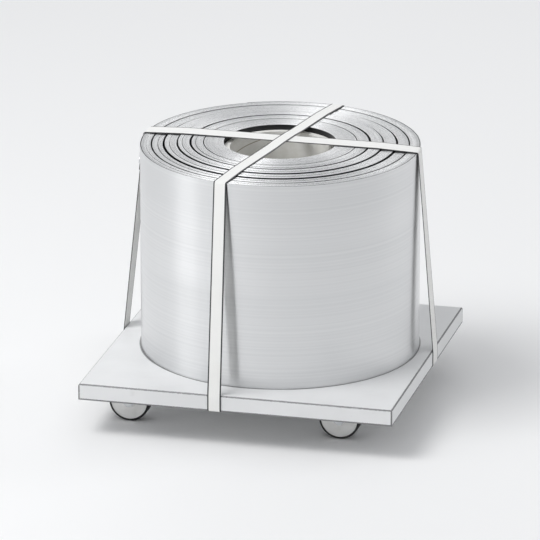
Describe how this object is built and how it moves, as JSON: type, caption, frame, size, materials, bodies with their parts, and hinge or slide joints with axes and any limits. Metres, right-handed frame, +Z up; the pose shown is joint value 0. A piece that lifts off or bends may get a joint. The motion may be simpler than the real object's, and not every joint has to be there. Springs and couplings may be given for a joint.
{
  "type": "aluminium gutter coil on a strapped dolly",
  "caption": "Aluminium gutter coil on its core, on end on a square steel dolly with swivel casters, held down by crossed flat straps closed with crimp seals.",
  "frame": {"origin": "on the floor under the middle of the deck, at the centre of the bounding box's base", "axes": "+Z up along the coil's axis; -Y is the side that the picture shows as the front, with one strap running roughly from front to back; -X is its left"},
  "size_m": [0.5796, 0.5796, 0.4825],
  "materials": {
    "coil": "bright satin mill finish with fine rolling lines",
    "core": "spiral wound white-lined board",
    "deck": "pale grey powder coat",
    "strap": "white woven polyester webbing",
    "seal": "zinc plated",
    "caster_steel": "bright zinc plated",
    "wheel": "moulded white polypropylene",
    "tread": "smooth black rubber"
  },
  "bodies": {
    "dolly": {"coil": "coil", "core": "core", "deck": "deck", "strap_front_back": "strap", "strap_left_right": "strap", "seal_front_back": "seal", "seal_left_right": "seal", "caster_front_left_plate": "caster_steel", "caster_front_right_plate": "caster_steel", "caster_back_left_plate": "caster_steel", "caster_back_right_plate": "caster_steel"},
    "fork_front_left": {"caster_front_left_fork": "caster_steel", "caster_front_left_axle": "caster_steel", "caster_front_left_nut": "caster_steel"},
    "wheel_front_left": {"caster_front_left_wheel": "wheel", "caster_front_left_tread": "tread"},
    "fork_front_right": {"caster_front_right_fork": "caster_steel", "caster_front_right_axle": "caster_steel", "caster_front_right_nut": "caster_steel"},
    "wheel_front_right": {"caster_front_right_wheel": "wheel", "caster_front_right_tread": "tread"},
    "fork_back_left": {"caster_back_left_fork": "caster_steel", "caster_back_left_axle": "caster_steel", "caster_back_left_nut": "caster_steel"},
    "wheel_back_left": {"caster_back_left_wheel": "wheel", "caster_back_left_tread": "tread"},
    "fork_back_right": {"caster_back_right_fork": "caster_steel", "caster_back_right_axle": "caster_steel", "caster_back_right_nut": "caster_steel"},
    "wheel_back_right": {"caster_back_right_wheel": "wheel", "caster_back_right_tread": "tread"}
  },
  "joints": [
    {"name": "swivel_front_left", "type": "hinge", "parent": "dolly", "child": "fork_front_left", "pos_m": [-0.195, -0.185, 0.0862], "axis": [0, 0, 1], "continuous": true},
    {"name": "roll_front_left", "type": "hinge", "parent": "fork_front_left", "child": "wheel_front_left", "pos_m": [-0.219, -0.185, 0.0375], "axis": [0, 1, 0], "continuous": true},
    {"name": "swivel_front_right", "type": "hinge", "parent": "dolly", "child": "fork_front_right", "pos_m": [0.195, -0.185, 0.0862], "axis": [0, 0, 1], "continuous": true},
    {"name": "roll_front_right", "type": "hinge", "parent": "fork_front_right", "child": "wheel_front_right", "pos_m": [0.171, -0.185, 0.0375], "axis": [0, 1, 0], "continuous": true},
    {"name": "swivel_back_left", "type": "hinge", "parent": "dolly", "child": "fork_back_left", "pos_m": [-0.195, 0.185, 0.0862], "axis": [0, 0, 1], "continuous": true},
    {"name": "roll_back_left", "type": "hinge", "parent": "fork_back_left", "child": "wheel_back_left", "pos_m": [-0.219, 0.185, 0.0375], "axis": [0, 1, 0], "continuous": true},
    {"name": "swivel_back_right", "type": "hinge", "parent": "dolly", "child": "fork_back_right", "pos_m": [0.195, 0.185, 0.0862], "axis": [0, 0, 1], "continuous": true},
    {"name": "roll_back_right", "type": "hinge", "parent": "fork_back_right", "child": "wheel_back_right", "pos_m": [0.171, 0.185, 0.0375], "axis": [0, 1, 0], "continuous": true}
  ]
}
